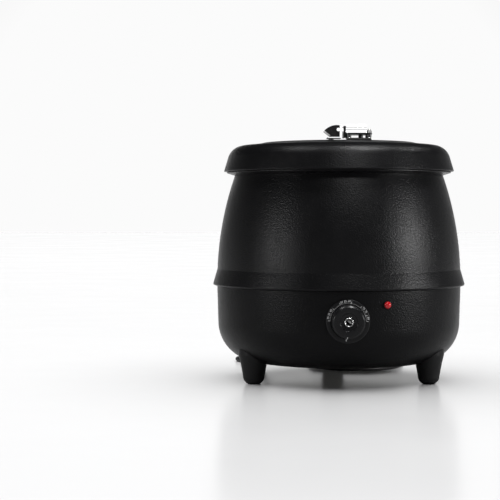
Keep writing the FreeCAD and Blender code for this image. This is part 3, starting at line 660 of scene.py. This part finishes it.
def cap_ring():
    """Thin bright ring round the end of the spindle."""
    outline = [(4.7, 0.0), (6.2, 0.0, 0.2), (6.2, 1.4, 0.5), (5.5, 2.1, 0.5), (4.8, 1.5, 0.4), (4.7, 0.4)]
    piece("cap_ring", turned(softened(outline), MEDIUM), "knob", DULL_METAL_AND_SHADE, ("knob_cap",),
          place=axis_place((KNOB_X, KNOB_FRONT_Y + 1.6, KNOB_Z), FRONT))


def spindle():
    """Spindle whose end has a flat ground on it."""
    outline = [(0, 0), (3.0, 0), (3.0, 39.0, 0.5), (0, 39.2)]
    bm = turned(softened(outline), 48)
    bmesh.ops.bisect_plane(bm, geom=bm.verts[:] + bm.edges[:] + bm.faces[:],
                           plane_co=(0, 0.9 * MM, 36.2 * MM), plane_no=(0, 0.94, 0.34), clear_outer=True)
    edge = [e for e in bm.edges if e.is_boundary]
    bmesh.ops.triangle_fill(bm, use_beauty=True, edges=edge)
    bmesh.ops.recalc_face_normals(bm, faces=bm.faces)
    piece("spindle_end", bm, "knob", DULL_METAL_AND_SHADE, ("thermostat_spindle",),
          place=axis_place((KNOB_X, -160.5, KNOB_Z), FRONT, radians(140)))


def dial():
    """Ring round the knob, with a chamfered edge and a step down behind the knob."""
    outline = [
        (8.6, 0.0), (DIAL_R, 0.0), (DIAL_R, 1.3, 0.3), (DIAL_R - 0.9, DIAL_THICK, 0.4),
        (24.2, DIAL_THICK, 0.2), (23.6, 1.7, 0.2), (8.6, 1.7),
    ]
    place = axis_place((KNOB_X, DIAL_FACE_Y + DIAL_THICK, KNOB_Z), FRONT)
    piece("dial_disc", turned(softened(outline), MEDIUM), "kettle", MATERIALS["dial_plastic"],
          ("dial_ring",), place=place)


def dial_point(radius, clock, proud=PRINT_HIGH):
    """A point on the dial's face; clock is degrees clockwise from the top, as seen from the front."""
    a = radians(clock)
    return Vector((KNOB_X + radius * sin(a), DIAL_FACE_Y - proud, KNOB_Z + radius * cos(a))) * MM


def tick(bm, clock, inner, outer, width):
    """Thin printed bar, with its sides down to the dial."""
    along = dial_point(outer, clock) - dial_point(inner, clock)
    side = Vector((along.z, 0, -along.x)).normalized() * width / 2 * MM
    corners = []
    for proud in (PRINT_HIGH, -0.02):
        a, b = dial_point(inner, clock, proud), dial_point(outer, clock, proud)
        corners.append([bm.verts.new(p) for p in (a - side, b - side, b + side, a + side)])
    top, bottom = corners
    bm.faces.new(top)
    bm.faces.new(bottom[::-1])
    for i in range(4):
        j = (i + 1) % 4
        bm.faces.new((top[i], bottom[i], bottom[j], top[j]))


def dial_number(text, clock, radius, high):
    """Printed number that stands on the ring, as a mesh."""
    curve = bpy.data.curves.new("number_" + text, "FONT")
    curve.body = text
    curve.size = high * MM
    curve.align_x = "CENTER"
    curve.align_y = "CENTER"
    curve.extrude = 0.04 * MM
    holder = bpy.data.objects.new("number_" + text, curve)
    bpy.context.scene.collection.objects.link(holder)
    bpy.context.view_layer.update()
    mesh = bpy.data.meshes.new_from_object(holder)
    bpy.data.objects.remove(holder)
    place = Matrix.Translation(dial_point(radius, clock)) @ Matrix.Rotation(radians(clock), 4, "Y")
    mesh.transform(place @ Matrix.Rotation(radians(90), 4, "X"))
    return mesh


def dial_print():
    """Print on the ring: a fine scale inside, long ticks and numbers outside, and a zero mark below."""
    bm = bmesh.new()
    for clock in (-88, -50, -25, 10, 42, 72, 90):
        tick(bm, clock, 24.4, 27.6, 0.55)
    for i in range(46):
        tick(bm, -88 + i * 178 / 45, 24.3, 25.3, 0.36)
    tick(bm, MARK_CLOCK, 23.9, 27.2, 0.7)
    numbers = {"30": -80, "35": -69, "40": -58, "50": -19, "55": -8, "60": 3, "70": 50, "75": 61,
               "80": 81}
    for text, clock in numbers.items():
        bm.from_mesh(dial_number(text, clock, 27.5, 3.9))
    piece("dial_print", bm, "kettle", PRINT)


def knob_mark():
    """Pointer line printed across the knob's rounded edge."""
    bm = bmesh.new()
    inner, outer = dial_point(20.4, MARK_CLOCK, 0), dial_point(22.55, MARK_CLOCK, 0)
    inner.y = (KNOB_FRONT_Y + 0.05) * MM
    outer.y = (KNOB_FRONT_Y + 2.3) * MM
    across = Vector((cos(radians(MARK_CLOCK)), 0, -sin(radians(MARK_CLOCK)))) * 0.3 * MM
    out = Vector((0, -0.35, -0.2)) * MM
    corners = [bm.verts.new(p + s * across + o) for o in (out, -out) for p, s in
               ((inner, -1), (outer, -1), (outer, 1), (inner, 1))]
    bmesh.ops.convex_hull(bm, input=corners)
    bmesh.ops.recalc_face_normals(bm, faces=bm.faces)
    piece("knob_mark", bm, "knob", PRINT)


def lamp():
    """Domed lens with a thin bezel."""
    out = (cos(radians(LAMP_AZIMUTH)), sin(radians(LAMP_AZIMUTH)), 0)
    seat = (LAMP_WALL_R * out[0], LAMP_WALL_R * out[1], LAMP_Z)
    dome = [(4.9 * sin(radians(a)), 1.0 + 3.9 * cos(radians(a))) for a in range(90, -1, -6)]
    dome[-1] = (0, dome[-1][1])
    outline = [(0, 0.2), (4.9, 0.2)] + dome
    piece("lamp_dome", turned(outline, 64), "kettle", MATERIALS["red_lens"], ("lamp_lens",),
          place=axis_place(seat, out))
    bezel = [(4.7, 0.1), (5.6, 0.1), (5.6, 1.0, 0.4), (4.9, 1.3, 0.2), (4.7, 1.0)]
    piece("lamp_bezel", turned(softened(bezel), 64), "kettle", MATERIALS["knob_plastic"],
          place=axis_place(seat, out))


knob()
cap_ring()
spindle()
dial()
dial_print()
knob_mark()
lamp()


# Floor, light and surroundings --------------------------------------------------

def floor():
    """Large pale floor with a soft gloss."""
    bm = bmesh.new()
    half = 14.0
    bm.faces.new([bm.verts.new((x * half, y * half, 0)) for x, y in ((-1, -1), (1, -1), (1, 1), (-1, 1))])
    mesh = bpy.data.meshes.new("floor")
    bm.to_mesh(mesh)
    bm.free()
    finish = material("floor_gloss", (0.84, 0.84, 0.845), (0.20, 0.24), specular=0.10,
                      grain=900.0, grain_high=0.002, rough_scale=3.0, variation=0.003)
    mesh.materials.append(finish)
    obj = bpy.data.objects.new("floor", mesh)
    bpy.context.scene.collection.objects.link(obj)
    obj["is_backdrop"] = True
    return obj


def softbox(name, place, target, width, high, power):
    """Rectangular lamp aimed at a point, in metres and watts."""
    data = bpy.data.lights.new(name, "AREA")
    data.shape = "RECTANGLE"
    data.size = width
    data.size_y = high
    data.energy = power
    light = bpy.data.objects.new(name, data)
    light.location = place
    light.rotation_euler = (Vector(target) - Vector(place)).to_track_quat("-Z", "Y").to_euler()
    bpy.context.scene.collection.objects.link(light)
    return light


def surroundings():
    """White round the horizon, whitest behind the kettle, and dim overhead."""
    world = bpy.data.worlds.new("studio")
    world.use_nodes = True
    tree = world.node_tree
    background = tree.nodes["Background"]
    where = tree.nodes.new("ShaderNodeTexCoord").outputs["Generated"]
    split = tree.nodes.new("ShaderNodeSeparateXYZ")
    tree.links.new(where, split.inputs["Vector"])
    ring = grey_ramp(tree, split.outputs["Z"], [(0.0, 0.965), (0.17, 0.965), (0.30, 0.09), (1.0, 0.06)])
    behind = tree.nodes.new("ShaderNodeMapRange")
    behind.inputs["From Min"].default_value = 0.89
    behind.inputs["From Max"].default_value = 0.98
    behind.inputs["To Min"].default_value = 0.34
    behind.inputs["To Max"].default_value = 1.0
    tree.links.new(split.outputs["Y"], behind.inputs["Value"])
    tree.links.new(ring, background.inputs["Color"])
    tree.links.new(behind.outputs["Result"], background.inputs["Strength"])
    bpy.context.scene.world = world


def grey_ramp(tree, source, stops):
    """Colour ramp of greys through (position, value) stops."""
    node = tree.nodes.new("ShaderNodeValToRGB")
    elements = node.color_ramp.elements
    for element, (position, value) in zip(elements, (stops[0], stops[-1])):
        element.position = position
        element.color = (value, value, value, 1)
    for position, value in stops[1:-1]:
        elements.new(position).color = (value, value, value, 1)
    tree.links.new(source, node.inputs["Fac"])
    return node.outputs["Color"]


def overhead(ground):
    """Wide overhead light for the floor alone."""
    data = bpy.data.lights.new("overhead", "SUN")
    data.energy = 3.85
    data.angle = radians(100)
    light = bpy.data.objects.new("overhead", data)
    light.rotation_euler = (radians(-6), 0, 0)
    bpy.context.scene.collection.objects.link(light)
    lit = bpy.data.collections.new("lit_by_overhead")
    lit.objects.link(ground)
    light.light_linking.receiver_collection = lit


ground = floor()
surroundings()
overhead(ground)
SOFTBOXES = [
    softbox("key_right", (1.56, -0.70, 0.46), (0.088, -0.15, 0.2), 0.42, 0.30, 25.0),
    softbox("fill_left", (-1.50, -0.85, 0.44), (-0.09, -0.15, 0.2), 0.50, 0.26, 11.0),
    softbox("top_middle", (0.35, -0.41, 1.57), (0.02, -0.15, 0.335), 0.30, 0.14, 24.0),
    softbox("top_left", (-0.59, -0.23, 1.52), (-0.064, -0.14, 0.335), 0.12, 0.12, 7.0),
    softbox("top_right", (0.91, 0.15, 1.3), (0.09, -0.12, 0.335), 0.16, 0.16, 4.0),
    softbox("front_high", (0.28, -1.22, 1.34), (0.01, -0.15, 0.29), 0.42, 0.22, 8.0),
]
hinge_only = bpy.data.collections.new("lit_by_front_card")
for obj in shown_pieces():
    if obj.name.startswith(("hinge_housing", "hinge_leaf", "hinge_pin", "hinge_nuts")):
        hinge_only.objects.link(obj)
front_card = softbox("front_card", (0.25, -2.4, 0.70), (0.02, 0, 0.37), 1.3, 0.9, 4.4)
front_card.light_linking.receiver_collection = hinge_only
kettle_only = bpy.data.collections.new("lit_by_softboxes")
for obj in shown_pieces():
    kettle_only.objects.link(obj)
for light in SOFTBOXES:
    light.light_linking.receiver_collection = kettle_only
bpy.context.scene.view_settings.view_transform = "Standard"
